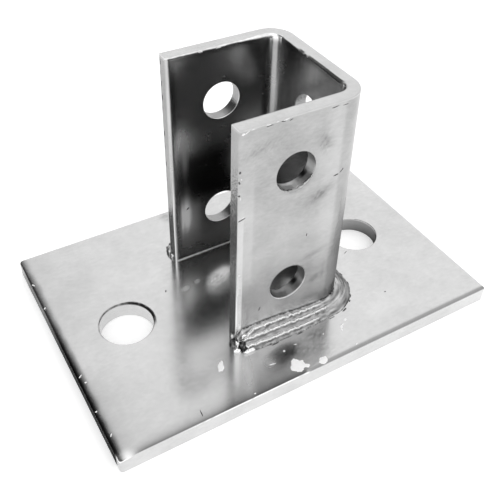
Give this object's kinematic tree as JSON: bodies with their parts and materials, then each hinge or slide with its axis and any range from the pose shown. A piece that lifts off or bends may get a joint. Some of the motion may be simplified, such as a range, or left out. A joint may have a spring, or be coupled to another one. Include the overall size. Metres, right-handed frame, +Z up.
{
  "type": "strut post base",
  "caption": "U-shaped steel channel welded upright on a flat rectangular plate; holds a strut post by cross bolts and anchors it to concrete.",
  "frame": {"origin": "centre of the base plate's underside, on the surface it is anchored to", "axes": "+Z up along the post, +X along the plate's long side towards the channel's web, so the channel opens towards -X; +Y across the plate"},
  "size_m": [0.1524, 0.1016, 0.0953],
  "materials": {
    "plated_plate": "zinc-plated hot-rolled plate, satin, with handling marks",
    "plated_channel": "zinc-plated bent plate, satin, faint rolling streaks",
    "plated_weld": "zinc-plated weld metal, rippled"
  },
  "bodies": {
    "root": {"base_plate": "plated_plate", "post_channel": "plated_channel", "fillet_weld": "plated_weld"}
  },
  "joints": []
}
